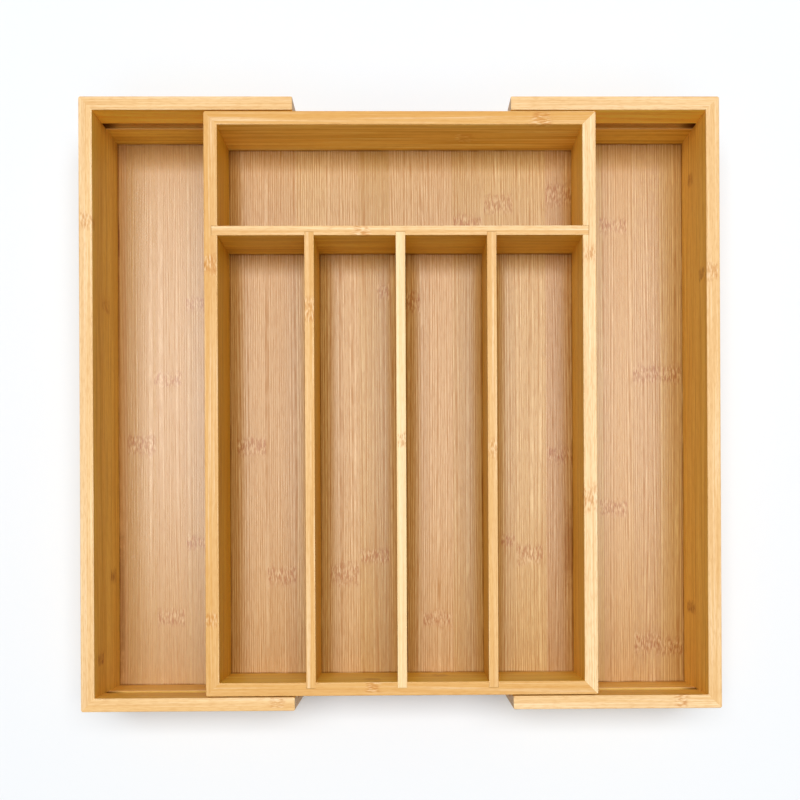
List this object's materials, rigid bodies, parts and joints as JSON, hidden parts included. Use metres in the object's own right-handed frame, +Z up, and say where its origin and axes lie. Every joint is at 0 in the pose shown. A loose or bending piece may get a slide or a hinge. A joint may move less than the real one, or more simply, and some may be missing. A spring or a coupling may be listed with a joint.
{
  "type": "cutlery tray",
  "caption": "Shallow bamboo drawer tray with divided compartments, widened by sliding wings on both sides to fill the drawer and hold cutlery.",
  "frame": {"origin": "middle of the footprint, on the surface that the wings stand on, with both wings drawn out", "axes": "+X to the user's right, along which the wings slide; +Y to the back of the drawer; +Z up"},
  "size_m": [0.472, 0.452, 0.063],
  "materials": {
    "wall_bamboo": "clear satin lacquer, grain along the wall",
    "divider_bamboo": "clear satin lacquer, grain along the divider",
    "pale_bamboo": "clear satin lacquer, paler board",
    "floor_bamboo": "clear satin lacquer on edge-glued strips, grain from front to back"
  },
  "bodies": {
    "center_tray": {"center_left_wall": "wall_bamboo", "center_right_wall": "wall_bamboo", "center_front_wall": "wall_bamboo", "center_back_wall": "wall_bamboo", "center_floor": "floor_bamboo", "cross_divider": "divider_bamboo", "long_divider_left": "divider_bamboo", "long_divider_middle": "pale_bamboo", "long_divider_right": "divider_bamboo", "front_slide_rail": "divider_bamboo", "back_slide_rail": "divider_bamboo"},
    "left_wing": {"left_end_wall": "wall_bamboo", "left_front_arm": "wall_bamboo", "left_back_arm": "wall_bamboo", "left_wing_floor": "floor_bamboo"},
    "right_wing": {"right_end_wall": "wall_bamboo", "right_front_arm": "wall_bamboo", "right_back_arm": "wall_bamboo", "right_wing_floor": "floor_bamboo"}
  },
  "joints": [
    {"name": "left_wing_slide", "type": "slide", "parent": "center_tray", "child": "left_wing", "axis": [1, 0, 0], "range_m": [0, 0.08]},
    {"name": "right_wing_slide", "type": "slide", "parent": "center_tray", "child": "right_wing", "axis": [-1, 0, 0], "range_m": [0, 0.08]}
  ]
}
